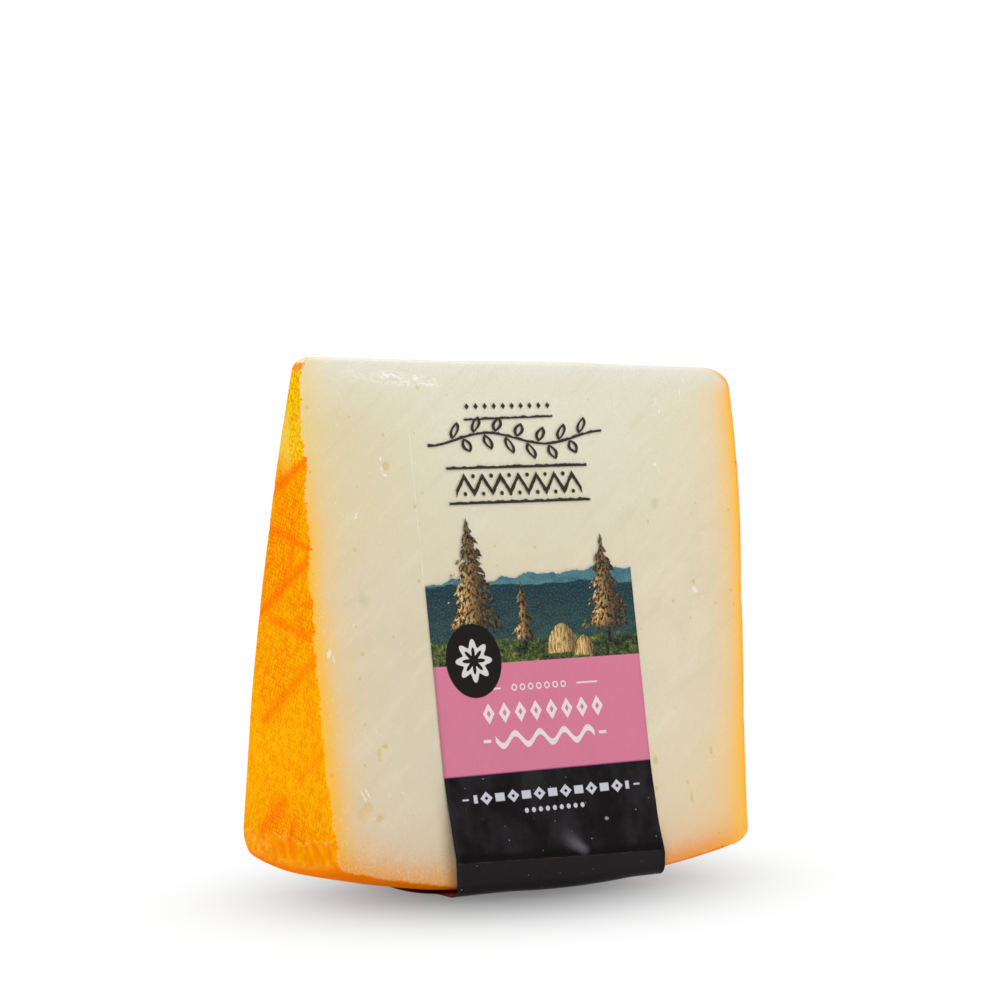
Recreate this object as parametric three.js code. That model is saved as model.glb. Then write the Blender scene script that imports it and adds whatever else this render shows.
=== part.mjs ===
// A wedge of pressed goat's cheese in its skin-tight clear pack, with a printed band round it.
// The wedge is cut from a wheel and stands on the wheel's curved rim, with its blunt tip on top.
// Millimetres. X runs along the wheel's axis, the large cut face looks to -Y, and z = 0 is the
// surface that the wedge stands on.

import * as THREE from "three";

// The two knife cuts
const TIP_HEIGHT = 106.9; // close to the wheel's radius, as the wedge reaches its middle
const TIP_HALF_THICKNESS = 1.5; // the cuts stop short of a sharp edge
const TIP_RISE = 0.0017; // the tip line is this much higher for each mm along X
const FRONT_LEAN = THREE.MathUtils.degToRad(7.7);
const BACK_LEAN = THREE.MathUtils.degToRad(13.3);

// The wheel's two flat faces, which dome a little and lean out towards the tip. The skew moves
// the dome up the side.
const SIDE_BASE_HEIGHT = 6.8; // where the half widths below are measured
const SIDE_SPAN = 100.1; // from there up to the tip
const LEFT_SIDE = { halfWidth: 50.9, leanOut: 1.3, dome: 1.8, skew: 0.1 };
const RIGHT_SIDE = { halfWidth: 49.1, leanOut: 4.55, dome: 1.2, skew: 2.05 };

// The wheel's rim, which the wedge stands on
const RIM_RADIUS = 96.5; // across the wedge
const RIM_BARREL = 0.0025; // rise in mm for each square mm along X
const RIM_LOWEST = { x: -3.5, y: 2.5 };

// How round each edge is
const EDGE = {
  frontRim: 0.7,
  backRim: 5.2,
  tip: 1.4,
  left: 0.7,
  leftRim: 1.5,
  leftTip: 3.2,
  right: 1.8,
  rightRim: 3.4,
  rightTip: 6.6,
};

// The printed band: stuck to the front face, folded under the base and up the back
const BAND = {
  width: 50.4,
  thickness: 0.25,
  gap: 0.12, // to the pack that it is stuck on
  turn: THREE.MathUtils.degToRad(1.7), // it sits a little askew
  centreX: -3.3, // of its top edge
  topHeight: 101,
  liftFrom: 26, // below this height it comes off the face
  lift: 1.6,
  foldHeight: 8,
  foldFall: 0.035, // the fold is lower to the right, by this much for each mm
  frontRadius: 2.2,
  backRadius: 5.2,
  backLength: 42,
  frontEdgeDepth: 13.5, // from the tip line to where the underside turns up the front
  frontEdgeHeight: 1.15, // of the front bottom edge, at its left end
  frontEdgeSlope: 0.03, // and its rise for each mm to the right
  spotDepth: 0.5, // rise of the rim that is pressed flat on the surface
};

// Steps along each direction of the two meshes
const WEDGE_STEPS = { x: 26, y: 14, z: 28 };
const BAND_STEPS = { across: 12, along: 76 };

// Where the part's origin lies in the frame of the tip line: under the middle of its outline
const ORIGIN = { x: 0.45, y: 4.38 };

const RIM_BOTTOM = BAND.thickness + 0.1; // lowest point of the cheese

function sideReach(side, z) {
  const s = (z - SIDE_BASE_HEIGHT) / SIDE_SPAN;
  const dome = 4 * s * (1 - s) * (side.dome + side.skew * (2 * s - 1));
  return side.halfWidth + side.leanOut * s + dome;
}

function frontY(z) {
  return -(TIP_HALF_THICKNESS + Math.tan(FRONT_LEAN) * (TIP_HEIGHT - z));
}

function backY(z) {
  return TIP_HALF_THICKNESS + Math.tan(BACK_LEAN) * (TIP_HEIGHT - z);
}

function rimRise(x, y) {
  const across = (y - RIM_LOWEST.y) ** 2 / (2 * RIM_RADIUS);
  return RIM_BARREL * (x - RIM_LOWEST.x) ** 2 + across;
}

// The larger of two distances, with the corner between them rounded to a radius.
function roundMax(a, b, radius) {
  const corner = Math.hypot(Math.max(a + radius, 0), Math.max(b + radius, 0));
  return Math.min(Math.max(a, b), -radius) + corner;
}

// Distance outside the wedge, below zero inside it.
function wedgeDistance(x, y, z) {
  const front = (frontY(z) - y) * Math.cos(FRONT_LEAN);
  const back = (y - backY(z)) * Math.cos(BACK_LEAN);
  const left = -x - sideReach(LEFT_SIDE, z);
  const right = x - sideReach(RIGHT_SIDE, z);
  const rim = RIM_BOTTOM + rimRise(x, y) - z;
  const tip = z - TIP_HEIGHT - TIP_RISE * x;
  const cut = Math.max(roundMax(front, rim, EDGE.frontRim), roundMax(back, rim, EDGE.backRim));
  let d = roundMax(cut, tip, EDGE.tip);
  d = Math.max(roundMax(d, left, EDGE.left), roundMax(left, rim, EDGE.leftRim));
  d = Math.max(roundMax(d, right, EDGE.right), roundMax(right, rim, EDGE.rightRim));
  return Math.max(d, roundMax(tip, left, EDGE.leftTip), roundMax(tip, right, EDGE.rightTip));
}

// Moves a point along the distance's slope until it lies on the wedge.
function settle(point) {
  const step = 1e-3;
  for (let i = 0; i < 12; i++) {
    const [x, y, z] = point;
    const d = wedgeDistance(x, y, z);
    const slope = [
      (wedgeDistance(x + step, y, z) - wedgeDistance(x - step, y, z)) / (2 * step),
      (wedgeDistance(x, y + step, z) - wedgeDistance(x, y - step, z)) / (2 * step),
      (wedgeDistance(x, y, z + step) - wedgeDistance(x, y, z - step)) / (2 * step),
    ];
    const square = slope.reduce((sum, s) => sum + s * s, 0);
    point = point.map((p, k) => p - (d * slope[k]) / Math.max(square, 1e-6));
  }
  return point;
}

// Even steps from 0 to 1, drawn closer together at both ends.
function crowdedEnds(t) {
  return t - (0.8 * Math.sin(2 * Math.PI * t)) / (2 * Math.PI);
}

function geometryFrom(positions, triangles) {
  const geometry = new THREE.BufferGeometry();
  geometry.setAttribute("position", new THREE.Float32BufferAttribute(positions, 3));
  geometry.setIndex(triangles);
  geometry.computeVertexNormals();
  return geometry;
}

// The outside of a lattice of points, settled on the wedge.
function wedgeGeometry() {
  const { x: nx, y: ny, z: nz } = WEDGE_STEPS;
  const positions = [];
  const triangles = [];
  const indices = new Map();

  function latticePoint(i, j, k) {
    const key = (i * (ny + 1) + j) * (nz + 1) + k;
    if (!indices.has(key)) {
      const [u, v, w] = [crowdedEnds(i / nx), crowdedEnds(j / ny), crowdedEnds(k / nz)];
      let [x, y, z] = [0, 0, TIP_HEIGHT * w];
      for (let pass = 0; pass < 3; pass++) {
        x = THREE.MathUtils.lerp(-sideReach(LEFT_SIDE, z), sideReach(RIGHT_SIDE, z), u);
        y = THREE.MathUtils.lerp(frontY(z), backY(z), v);
        z = THREE.MathUtils.lerp(RIM_BOTTOM + rimRise(x, y), TIP_HEIGHT, w);
      }
      indices.set(key, positions.length / 3);
      positions.push(...settle([x, y, z]));
    }
    return indices.get(key);
  }

  // One side of the lattice, with a and b its two directions in the order that faces outwards.
  function side(na, nb, at) {
    for (let a = 0; a < na; a++) {
      for (let b = 0; b < nb; b++) {
        const [p, q, r, s] = [at(a, b), at(a + 1, b), at(a + 1, b + 1), at(a, b + 1)];
        triangles.push(p, q, r, p, r, s);
      }
    }
  }

  side(nx, nz, (a, b) => latticePoint(a, 0, b));
  side(nz, nx, (a, b) => latticePoint(b, ny, a));
  side(nz, ny, (a, b) => latticePoint(0, b, a));
  side(ny, nz, (a, b) => latticePoint(nx, a, b));
  side(ny, nx, (a, b) => latticePoint(b, a, 0));
  side(nx, ny, (a, b) => latticePoint(a, b, nz));
  return geometryFrom(positions, triangles);
}

// The band's course down the front, under the base and up the back, as the length of each
// stretch and the point at a distance along it, for a level line across the wedge.
function bandCourse(x) {
  const offset = BAND.gap + BAND.thickness / 2;
  const middle = BAND.thickness / 2;
  const fold = BAND.foldHeight - BAND.foldFall * x;
  const foldY = frontY(fold) - (offset + BAND.lift) / Math.cos(FRONT_LEAN);
  const { topHeight, liftFrom, frontRadius, backRadius, backLength } = BAND;
  const slopeLength = 1 / Math.cos(FRONT_LEAN);
  const backTurn = Math.PI / 2 + BACK_LEAN;
  const backCentreZ = middle + backRadius;
  const backCentreY = backY(backCentreZ) + (offset - backRadius) / Math.cos(BACK_LEAN);

  const stretches = [
    {
      length: (topHeight - liftFrom) * slopeLength,
      at: (t) => {
        const z = topHeight - t / slopeLength;
        return [frontY(z) - offset / Math.cos(FRONT_LEAN), z];
      },
    },
    {
      length: (liftFrom - fold) * slopeLength,
      at: (t) => {
        const z = liftFrom - t / slopeLength;
        const away = offset + BAND.lift * ((liftFrom - z) / (liftFrom - fold)) ** 1.6;
        return [frontY(z) - away / Math.cos(FRONT_LEAN), z];
      },
    },
    {
      length: fold - middle - frontRadius,
      at: (t) => [foldY, fold - t],
    },
    {
      length: (frontRadius * Math.PI) / 2,
      at: (t) => {
        const turn = t / frontRadius;
        const centreZ = middle + frontRadius;
        return [
          foldY + frontRadius * (1 - Math.cos(turn)),
          centreZ - frontRadius * Math.sin(turn),
        ];
      },
    },
    {
      length: backCentreY - foldY - frontRadius,
      at: (t) => [foldY + frontRadius + t, middle],
    },
    {
      length: backRadius * backTurn,
      at: (t) => {
        const turn = t / backRadius;
        return [
          backCentreY + backRadius * Math.sin(turn),
          backCentreZ - backRadius * Math.cos(turn),
        ];
      },
    },
    {
      length: backLength,
      at: (t) => [
        backCentreY + backRadius * Math.cos(BACK_LEAN) - t * Math.sin(BACK_LEAN),
        backCentreZ + backRadius * Math.sin(BACK_LEAN) + t * Math.cos(BACK_LEAN),
      ],
    },
  ];
  return stretches;
}

// How far the band's underside is above the surface: it follows the rim, except for a flat
// spot under the middle and a straight front edge that keeps just clear of the rim.
function bandRise(x, y) {
  const rim = rimRise(x, Math.max(y, -BAND.frontEdgeDepth));
  const underRim = Math.max(rim - BAND.spotDepth, 0);
  const frontEdge = BAND.frontEdgeHeight + BAND.frontEdgeSlope * (x + BAND.width / 2);
  const towardsFront = THREE.MathUtils.smoothstep(-y, 4, BAND.frontEdgeDepth);
  return Math.min(THREE.MathUtils.lerp(underRim, frontEdge, towardsFront), rim);
}

// A point in the middle of the band's thickness. The distance along is in mm from the top
// edge, and the distance across is from the middle.
function bandPoint(across, along) {
  const x = BAND.centreX + across * Math.cos(BAND.turn) + along * Math.sin(BAND.turn);
  let rest = along * Math.cos(BAND.turn) - across * Math.sin(BAND.turn);
  const stretches = bandCourse(x);
  let stretch = stretches[0];
  for (const next of stretches) {
    stretch = next;
    if (rest <= next.length || next === stretches.at(-1)) break;
    rest -= next.length;
  }
  const [y, z] = stretch.at(rest);
  const low = 1 - THREE.MathUtils.smoothstep(z, 2, BAND.foldHeight);
  const onBack = y > RIM_LOWEST.y ? 1 : low;
  return new THREE.Vector3(x, y, z + bandRise(x, Math.min(y, backY(0) - EDGE.backRim)) * onBack);
}

function bandLength() {
  return bandCourse(0).reduce((sum, stretch) => sum + stretch.length, 0);
}

// The two faces of the band and the narrow edge between them.
function bandGeometry() {
  const { across: na, along: nl } = BAND_STEPS;
  const positions = [];
  const triangles = [];
  const total = bandLength();
  const step = 0.05;
  for (const face of [-1, 1]) {
    for (let i = 0; i <= na; i++) {
      for (let j = 0; j <= nl; j++) {
        const across = BAND.width * (i / na - 0.5);
        const along = (total * j) / nl;
        const point = bandPoint(across, along);
        const sideways = bandPoint(across + step, along).sub(bandPoint(across - step, along));
        const onward = bandPoint(across, along + step).sub(bandPoint(across, along - step));
        const outward = sideways.cross(onward).normalize().negate();
        point.addScaledVector(outward, (face * BAND.thickness) / 2);
        positions.push(...point);
      }
    }
  }
  const at = (face, i, j) => (face * (na + 1) + i) * (nl + 1) + j;
  const quad = (p, q, r, s) => triangles.push(p, r, q, p, s, r);
  for (let i = 0; i < na; i++) {
    for (let j = 0; j < nl; j++) {
      quad(at(0, i, j), at(0, i, j + 1), at(0, i + 1, j + 1), at(0, i + 1, j));
      quad(at(1, i, j), at(1, i + 1, j), at(1, i + 1, j + 1), at(1, i, j + 1));
    }
  }
  for (let i = 0; i < na; i++) {
    quad(at(0, i, 0), at(0, i + 1, 0), at(1, i + 1, 0), at(1, i, 0));
    quad(at(1, i, nl), at(1, i + 1, nl), at(0, i + 1, nl), at(0, i, nl));
  }
  for (let j = 0; j < nl; j++) {
    quad(at(1, 0, j), at(1, 0, j + 1), at(0, 0, j + 1), at(0, 0, j));
    quad(at(0, na, j), at(0, na, j + 1), at(1, na, j + 1), at(1, na, j));
  }
  return geometryFrom(positions, triangles);
}

function makeCheese() {
  const paste = new THREE.MeshStandardMaterial({ color: 0xe3d9b4, roughness: 0.42, metalness: 0 });
  const cheese = new THREE.Mesh(wedgeGeometry(), paste);
  cheese.name = "cheese_wedge";
  return cheese;
}

function makeBand() {
  const print = new THREE.MeshStandardMaterial({ color: 0x1f1e20, roughness: 0.35, metalness: 0 });
  const band = new THREE.Mesh(bandGeometry(), print);
  band.name = "label_band";
  return band;
}

const part = new THREE.Group();
const inTipFrame = new THREE.Group();
inTipFrame.position.set(-ORIGIN.x, -ORIGIN.y, 0);
inTipFrame.add(makeCheese(), makeBand());
part.add(inTipFrame);

export default part;
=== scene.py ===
import math

import bpy
import numpy as np
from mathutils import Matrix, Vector, noise


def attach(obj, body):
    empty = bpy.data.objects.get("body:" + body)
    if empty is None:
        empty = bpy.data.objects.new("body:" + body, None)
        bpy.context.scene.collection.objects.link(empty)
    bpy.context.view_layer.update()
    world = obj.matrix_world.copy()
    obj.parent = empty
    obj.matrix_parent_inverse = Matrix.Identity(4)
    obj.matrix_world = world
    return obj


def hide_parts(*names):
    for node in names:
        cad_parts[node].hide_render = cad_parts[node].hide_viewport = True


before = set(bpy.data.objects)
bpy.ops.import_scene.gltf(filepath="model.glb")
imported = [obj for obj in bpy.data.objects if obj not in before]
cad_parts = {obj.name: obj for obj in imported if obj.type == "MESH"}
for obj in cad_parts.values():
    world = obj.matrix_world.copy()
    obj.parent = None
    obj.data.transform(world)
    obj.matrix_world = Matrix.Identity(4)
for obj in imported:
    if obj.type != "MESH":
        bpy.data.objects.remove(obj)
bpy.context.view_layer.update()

# Sizes are in millimetres and angles in radians, unless a name says otherwise. Meshes are
# brought to metres when they are made.
METRE = 1000.0


# The studio. A pack shot: a level camera to the left of the wedge's own front, a pale floor,
# a large softbox above and behind, a wide front fill, and a weak light low at the left.
class Value:
    """A number or colour that a node puts out. Sums with it add Math nodes."""

    def __init__(self, finish, socket):
        self.finish = finish
        self.socket = socket

    def other(self, name):
        return Value(self.finish, self.socket.node.outputs[name])

    def math(self, operation, *others):
        return self.finish.math(operation, self, *others)

    def __add__(self, other):
        return self.math("ADD", other)

    def __radd__(self, other):
        return self.math("ADD", other)

    def __sub__(self, other):
        return self.math("SUBTRACT", other)

    def __rsub__(self, other):
        return self.finish.math("SUBTRACT", other, self)

    def __mul__(self, other):
        return self.math("MULTIPLY", other)

    def __rmul__(self, other):
        return self.math("MULTIPLY", other)

    def __truediv__(self, other):
        return self.math("DIVIDE", other)

    def __rtruediv__(self, other):
        return self.finish.math("DIVIDE", other, self)

    def __pow__(self, power):
        if power == 2:
            return self * self
        return self.math("SQRT") if power == 0.5 else self.math("POWER", power)

    def __abs__(self):
        return self.math("ABSOLUTE")

    def least(self, other):
        return self.math("MINIMUM", other)

    def most(self, other):
        return self.math("MAXIMUM", other)

    def rising(self, low, high, ends=(0, 1)):
        """0 below low and 1 above high, with a smooth step between them."""
        inputs = {0: self, 1: low, 2: high, 3: ends[0], 4: ends[1]}
        return self.finish.node("MapRange", {"interpolation_type": "SMOOTHSTEP"}, inputs)

    def falling(self, low, high):
        return self.rising(low, high, ends=(1, 0))

    def repeated(self, pitch):
        """The same stretch, from minus half a pitch to plus half a pitch, over and over."""
        return self.math("WRAP", pitch / 2, -pitch / 2)


class Finish:
    """The node tree of one material, or of the world."""

    def __init__(self, owner):
        owner.use_nodes = True
        self.tree = owner.node_tree
        self.tree.nodes.clear()

    def node(self, kind, settings=None, inputs=None, output=0):
        made = self.tree.nodes.new("ShaderNode" + kind)
        for name, setting in (settings or {}).items():
            setattr(made, name, setting)
        for name, value in (inputs or {}).items():
            if isinstance(value, Value):
                self.tree.links.new(value.socket, made.inputs[name])
            else:
                made.inputs[name].default_value = value
        return Value(self, made.outputs[output]) if made.outputs else None

    def math(self, operation, *values):
        return self.node("Math", {"operation": operation}, dict(enumerate(values)))

    def mix(self, factor, first, second, blend="MIX"):
        """The first colour at factor 0, and the second at factor 1."""
        settings = {"data_type": "RGBA", "blend_type": blend}
        return self.node("Mix", settings, {0: factor, 6: first, 7: second}, output=2)

    def noise(self, place, size, detail=2.0, roughness=0.5):
        """Cloudy variation from 0 to 1, with clouds of this size in the units of the place."""
        inputs = {"Vector": place, "Scale": 1 / size, "Detail": detail, "Roughness": roughness}
        return self.node("TexNoise", {}, inputs)

    def stretched(self, place, scale, shift=(0, 0, 0)):
        return self.node("VectorMath", {"operation": "MULTIPLY_ADD"}, {0: place, 1: scale, 2: shift})

    def surface(self, sockets):
        """Ends the tree of a material with its shader."""
        shader = self.node("BsdfPrincipled", {}, sockets)
        self.node("OutputMaterial", {}, {"Surface": shader})


def ink(red, green, blue):
    """The colour of a swatch that is read off a screen as 0 to 255."""
    def linear(c):
        c = c / 255
        return c / 12.92 if c <= 0.04045 else ((c + 0.055) / 1.055) ** 2.4

    return (linear(red), linear(green), linear(blue), 1.0)


CAMERA_PLACE = (-0.37296, -0.54918, 0.0781)  # metres
CAMERA_TURN = math.radians(34.05)
camera_data = bpy.data.cameras.new("camera")
camera_data.lens = 116.64
camera_data.sensor_width = 36
camera_data.shift_y = 0.0043
camera_data.clip_start = 0.05
camera = bpy.data.objects.new("camera", camera_data)
camera.location = CAMERA_PLACE
camera.rotation_euler = (math.pi / 2, 0, -CAMERA_TURN)
bpy.context.collection.objects.link(camera)
bpy.context.scene.camera = camera
bpy.context.scene.view_settings.view_transform = "Standard"

FLOOR_RADIUS = 4.0  # metres
floor_mesh = bpy.data.meshes.new("floor")
turns = np.linspace(0, math.tau, 97)[:-1]
rim = [(FLOOR_RADIUS * math.cos(t), FLOOR_RADIUS * math.sin(t), 0) for t in turns]
floor_mesh.from_pydata(rim, [], [tuple(range(len(rim)))])
floor = bpy.data.objects.new("floor", floor_mesh)
bpy.context.collection.objects.link(floor)
floor_material = bpy.data.materials.new("white_floor")
floor_mesh.materials.append(floor_material)
paint = Finish(floor_material)
spot = paint.node("TexCoord").other("Object")
white = paint.mix(paint.noise(spot, 0.02), (0.047, 0.047, 0.047, 1), (0.053, 0.053, 0.053, 1))
# The floor glows evenly like lit opal glass, with its glow dimmed under and around the wedge as a
# painted soft grey shadow; farther off the floor meets the background without an edge.
SHADE_MIDDLE = (0.0016, 0.0031)  # metres
SHADE_REACH = (0.0499, 0.0457)
SHADE_SLANT = 0.818
SHADE_FALLOFF = 1.233
SHADE_DEPTH = 0.82
spread = paint.node("SeparateXYZ", {}, {0: spot})
along_x = (spread - SHADE_MIDDLE[0]) / SHADE_REACH[0]
along_y = (spread.other("Y") - SHADE_MIDDLE[1]) / SHADE_REACH[1]
away = along_x**2 + along_y**2 - SHADE_SLANT * along_x * along_y
shade = 1 - SHADE_DEPTH * (-1 * away**SHADE_FALLOFF).math("EXPONENT")
far = paint.node("VectorMath", {"operation": "LENGTH"}, {0: spot}, output="Value").rising(0.35, 1.3)
glow = paint.mix(far, (0.94, 0.94, 0.94, 1), (1.0, 1.0, 1.0, 1))
glow = paint.mix(shade, (0, 0, 0, 1), glow)
sockets = {"Base Color": white, "Roughness": 0.9, "Emission Color": glow}
sockets |= {"Specular IOR Level": 0.1, "Emission Strength": 1.0}
paint.surface(sockets)

world = bpy.data.worlds.new("studio")
bpy.context.scene.world = world
air = Finish(world)
seen = air.node("LightPath").other("Is Camera Ray")
glow = air.mix(seen, (0.72, 0.72, 0.72, 1), (1, 1, 1, 1))
air.node("OutputWorld", {}, {"Surface": air.node("Background", {}, {"Color": glow})})

SOFTBOXES = {  # place in metres, size in metres, watts
    "top_back": ((0.4, 0.6, 1.9), 1.8, 16),
    "front_fill": ((-0.65, -1.15, 1.1), 1.3, 7),
    "left_low": ((-1.2, 0.35, 0.3), 0.8, 1.5),
}
for name, (place, size, watts) in SOFTBOXES.items():
    light = bpy.data.lights.new(name, "AREA")
    light.shape = "DISK"
    light.size = size
    light.energy = watts
    lamp = bpy.data.objects.new(name, light)
    lamp.location = place
    lamp.rotation_euler = (Vector((0, 0, 0.04)) - Vector(place)).to_track_quat("-Z", "Y").to_euler()
    bpy.context.collection.objects.link(lamp)


# The cheese: a wedge of pressed, half-cured goat's cheese, sawn from a wheel with two knife
# cuts that nearly meet at its middle. It stands on the wheel's rim, and has kept its rind there
# and on both sides, which were the wheel's flat faces.
TIP_HEIGHT = 106.9
TIP_HALF_THICKNESS = 1.5
TIP_RISE = 0.0017
FRONT_SLOPE = math.tan(math.radians(7.7))
BACK_SLOPE = math.tan(math.radians(13.3))
SIDE_BASE_HEIGHT = 6.8
SIDE_SPAN = 100.1
LEFT_SIDE = (51.1, 1.1, 1.8, 0.1)  # half width, lean, dome, skew
LEFT_TURN = 0.03  # the left side stands out a little more at the front
RIGHT_SIDE = (49.1, 4.55, 1.2, 2.05)
RIM_BOTTOM = 0.35
RIM_RADIUS = 96.5
RIM_BARREL = 0.0025
RIM_LOWEST = (-3.5, 2.5)
EDGE = {
    "front_rim": 0.7,
    "back_rim": 5.2,
    "tip": 1.4,
    "left": 0.7,
    "left_rim": 1.5,
    "left_tip": 3.2,
    "right": 1.8,
    "right_rim": 4.6,
    "right_tip": 6.6,
}
ORIGIN = (0.45, 4.38, 0.0)  # the frame's origin, seen from the line under the tip


def side_reach(side, z):
    """How far a side stands from the line under the tip."""
    half_width, lean, dome, skew = side
    s = (z - SIDE_BASE_HEIGHT) / SIDE_SPAN
    return half_width + lean * s + 4 * s * (1 - s) * (dome + skew * (2 * s - 1))


def front_y(z):
    return (z - TIP_HEIGHT) * FRONT_SLOPE - TIP_HALF_THICKNESS


def back_y(z):
    return (TIP_HEIGHT - z) * BACK_SLOPE + TIP_HALF_THICKNESS


def rim_rise(x, y):
    """Height of the rim above its lowest point."""
    from_lowest = (x - RIM_LOWEST[0], y - RIM_LOWEST[1])
    return from_lowest[0] ** 2 * RIM_BARREL + from_lowest[1] ** 2 / (2 * RIM_RADIUS)


def round_max(a, b, radius):
    corner = np.hypot(np.maximum(a + radius, 0), np.maximum(b + radius, 0))
    return np.minimum(np.maximum(a, b), -radius) + corner


def wedge_distance(points):
    """Distance outside the wedge, below zero inside it."""
    x, y, z = points.T
    front = (front_y(z) - y) / math.hypot(1, FRONT_SLOPE)
    back = (y - back_y(z)) / math.hypot(1, BACK_SLOPE)
    left = -x - side_reach(LEFT_SIDE, z) + LEFT_TURN * y
    right = x - side_reach(RIGHT_SIDE, z)
    rim = RIM_BOTTOM + rim_rise(x, y) - z
    tip = z - TIP_HEIGHT - TIP_RISE * x
    cut = np.maximum(round_max(front, rim, EDGE["front_rim"]), round_max(back, rim, EDGE["back_rim"]))
    d = round_max(cut, tip, EDGE["tip"])
    d = np.maximum(round_max(d, left, EDGE["left"]), round_max(left, rim, EDGE["left_rim"]))
    d = np.maximum(round_max(d, right, EDGE["right"]), round_max(right, rim, EDGE["right_rim"]))
    d = np.maximum(d, round_max(tip, left, EDGE["left_tip"]))
    return np.maximum(d, round_max(tip, right, EDGE["right_tip"]))


def slope_of(points, step=1e-3):
    """The direction out of the wedge at each point, as long as the distance grows there."""
    shifts = np.eye(3) * step
    rates = [wedge_distance(points + s) - wedge_distance(points - s) for s in shifts]
    return np.stack(rates, axis=1) / (2 * step)


def outward_of(points):
    """The direction straight out of the wedge at each point, one unit long."""
    slope = slope_of(points)
    return slope / np.linalg.norm(slope, axis=1)[:, None]


def settled(points):
    """The points, moved along the distance's slope until they lie on the wedge."""
    for _ in range(8):
        slope = slope_of(points)
        square = np.maximum((slope**2).sum(axis=1), 1e-6)
        points = points - slope * (wedge_distance(points) / square)[:, None]
    return points


def steps(count, crowded):
    """Steps from 0 to 1 that are closer together near some places: (place, reach, strength)."""
    along = np.linspace(0, 1, 4001)
    density = np.ones_like(along)
    for middle, reach, strength in crowded:
        density += strength * np.exp(-(((along - middle) / reach) ** 2))
    filled = np.concatenate([[0], np.cumsum((density[1:] + density[:-1]) / 2)])
    return np.interp(np.linspace(0, 1, count + 1), filled / filled[-1], along)


def squares_of(grid):
    """The squares between the numbered points of a grid."""
    return np.stack([grid[:-1, :-1], grid[1:, :-1], grid[1:, 1:], grid[:-1, 1:]], axis=-1).reshape(-1, 4)


def wedge_lattice(counts, crowded=((), (), ())):
    """Points and squares of the outside of a lattice that is laid in the wedge."""
    nx, ny, nz = counts
    i, j, k = np.meshgrid(*(np.arange(n + 1) for n in counts), indexing="ij")
    outside = (i % nx == 0) | (j % ny == 0) | (k % nz == 0)
    number = np.full(outside.shape, -1)
    number[outside] = np.arange(outside.sum())
    ends = [(0, 0.018, 2.5), (1, 0.018, 2.5)]
    u = steps(nx, ends + list(crowded[0]))[i[outside]]
    v = steps(ny, [(0, 0.05, 1.5), (1, 0.05, 1.5)] + list(crowded[1]))[j[outside]]
    w = steps(nz, ends + list(crowded[2]))[k[outside]]
    z = TIP_HEIGHT * w
    for _ in range(3):
        left, right = -side_reach(LEFT_SIDE, z), side_reach(RIGHT_SIDE, z)
        x = left + (right - left) * u
        y = front_y(z) + (back_y(z) - front_y(z)) * v
        bottom = RIM_BOTTOM + rim_rise(x, y)
        z = bottom + (TIP_HEIGHT - bottom) * w
    sheets = [
        number[:, 0, :],
        number[:, ny, :].T,
        number[0, :, :].T,
        number[nx, :, :],
        number[:, :, 0].T,
        number[:, :, nz],
    ]
    return np.stack([x, y, z], axis=1), np.concatenate([squares_of(sheet) for sheet in sheets])


def mesh_piece(name, points, faces):
    """A smooth object from points in millimetres, measured from the frame's origin."""
    mesh = bpy.data.meshes.new(name)
    mesh.from_pydata((points / METRE).tolist(), [], faces.tolist())
    mesh.shade_smooth()
    piece = bpy.data.objects.new(name, mesh)
    bpy.context.collection.objects.link(piece)
    return piece


CHEESE_STEPS = (160, 46, 176)
CROWDED = (
    [(0.13, 0.07, 1.2)],
    [],
    [(0.168, 0.03, 1.2), (0.285, 0.025, 1.2), (0.8, 0.02, 1.4)],
)

# Small mechanical holes that the cut laid open: place along X and Z, width, height, depth
HOLES = [
    (-34.3, 85.6, 1.45, 1.6, 0.45),
    (-38.9, 31.1, 1.5, 0.9, 0.45),
    (-40.4, 29.6, 0.8, 2.8, 0.3),
    (-45.0, 18.2, 2.5, 2.9, 0.35),
    (-43.7, 19.6, 2.0, 1.7, 0.3),
    (-41.3, 17.3, 1.8, 1.1, 0.45),
    (-28.2, 77.7, 0.8, 0.9, 0.4),
    (-28.5, 63.0, 0.6, 0.7, 0.4),
    (-43.8, 44.3, 0.5, 0.7, 0.3),
    (-42.1, 95.2, 0.6, 0.5, 0.2),
    (-34.5, 91.7, 0.5, 0.8, 0.2),
    (-41.4, 81.5, 0.5, 0.6, 0.2),
    (39.4, 61.9, 0.8, 1.3, 0.35),
    (28.7, 74.6, 0.6, 0.8, 0.3),
    (49.2, 60.1, 0.9, 1.0, 0.3),
    (44.7, 57.4, 0.7, 0.7, 0.25),
    (37.6, 54.5, 0.6, 0.7, 0.2),
    (25.8, 25.6, 1.0, 1.6, 0.3),
    (40.2, 27.1, 0.6, 1.8, 0.25),
    (34.3, 17.8, 0.7, 2.2, 0.25),
]

# Faint grey spots in the cut: place along X and Z, radius
BRUISES = [(30.9, 78.4, 1.5), (-41.8, 59.5, 1.9)]

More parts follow.
